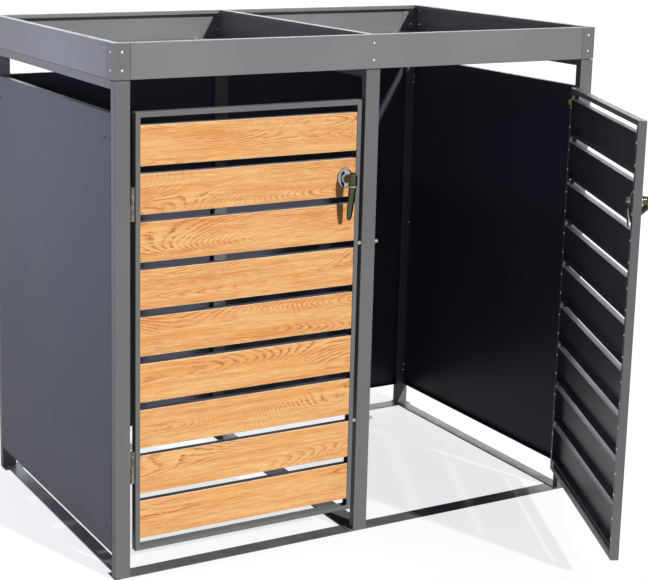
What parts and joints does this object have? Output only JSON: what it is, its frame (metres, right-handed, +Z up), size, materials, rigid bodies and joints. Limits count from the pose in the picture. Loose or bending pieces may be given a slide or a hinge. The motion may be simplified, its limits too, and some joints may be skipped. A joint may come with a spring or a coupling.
{
  "type": "wheelie bin store",
  "caption": "Metal store for wheelie bins: post frame with wall panels, planter roof with divider, and two hinged doors of horizontal slats with turning lever latches.",
  "frame": {"origin": "centre of the footprint on the ground, on the underside of the middle floor rail", "axes": "+X to the right seen from the doors, -Y towards the viewer in front of the doors, +Z up"},
  "size_m": [1.3724, 1.3865, 1.282],
  "materials": {
    "grey_paint": "matt",
    "wood_print": "oak-look print, satin",
    "rivet_steel": "bright",
    "chrome": "polished",
    "zinc": "zinc plated",
    "buffer_rubber": "matt"
  },
  "bodies": {
    "store": {"post_front_left": "grey_paint", "post_front_middle": "grey_paint", "post_front_right": "grey_paint", "post_rear_left": "grey_paint", "post_rear_middle": "grey_paint", "post_rear_right": "grey_paint", "floor_rail_front": "grey_paint", "floor_rail_rear": "grey_paint", "floor_rail_left": "grey_paint", "floor_rail_right": "grey_paint", "floor_rail_middle": "grey_paint", "top_rail_left": "grey_paint", "top_rail_right": "grey_paint", "top_rail_middle": "grey_paint", "side_panel_left": "grey_paint", "side_panel_right": "grey_paint", "rear_panel_left": "grey_paint", "rear_panel_right": "grey_paint", "planter_front": "grey_paint", "planter_rear": "grey_paint", "planter_side_left": "grey_paint", "planter_side_right": "grey_paint", "planter_corners": "grey_paint", "planter_divider": "grey_paint", "planter_tray_left": "grey_paint", "planter_tray_right": "grey_paint", "hinge_post_halves": "zinc", "hinge_pins": "zinc", "door_buffers": "buffer_rubber", "frame_rivets": "rivet_steel"},
    "left_door": {"left_door_frame": "grey_paint", "left_door_slat_1": "wood_print", "left_door_slat_2": "wood_print", "left_door_slat_3": "wood_print", "left_door_slat_4": "wood_print", "left_door_slat_5": "wood_print", "left_door_slat_6": "wood_print", "left_door_slat_7": "wood_print", "left_door_slat_8": "wood_print", "left_door_slat_9": "wood_print", "left_door_rivets": "rivet_steel", "left_hinge_door_halves": "zinc", "left_handle_rosette": "chrome"},
    "right_door": {"right_door_frame": "grey_paint", "right_door_slat_1": "wood_print", "right_door_slat_2": "wood_print", "right_door_slat_3": "wood_print", "right_door_slat_4": "wood_print", "right_door_slat_5": "wood_print", "right_door_slat_6": "wood_print", "right_door_slat_7": "wood_print", "right_door_slat_8": "wood_print", "right_door_slat_9": "wood_print", "right_door_rivets": "rivet_steel", "right_hinge_door_halves": "zinc", "right_handle_rosette": "chrome"},
    "left_handle": {"left_handle_lever": "chrome", "left_latch_cam": "zinc"},
    "right_handle": {"right_handle_lever": "chrome", "right_latch_cam": "zinc"}
  },
  "joints": [
    {"name": "left_door_hinge", "type": "hinge", "parent": "store", "child": "left_door", "pos_m": [-0.6385, -0.415, 0.93333], "axis": [0, 0, -1], "range_deg": [0, 115]},
    {"name": "right_door_hinge", "type": "hinge", "parent": "store", "child": "right_door", "pos_m": [0.6385, -0.415, 0.93333], "axis": [0, 0, 1], "range_deg": [-65, 50]},
    {"name": "left_handle_turn", "type": "hinge", "parent": "left_door", "child": "left_handle", "pos_m": [-0.074, -0.418, 0.93333], "axis": [0, 1, 0], "range_deg": [0, 90]},
    {"name": "right_handle_turn", "type": "hinge", "parent": "right_door", "child": "right_handle", "pos_m": [0.40265, -0.92788, 0.93333], "axis": [0.9063, -0.4226, 0], "range_deg": [-55, 35]}
  ]
}
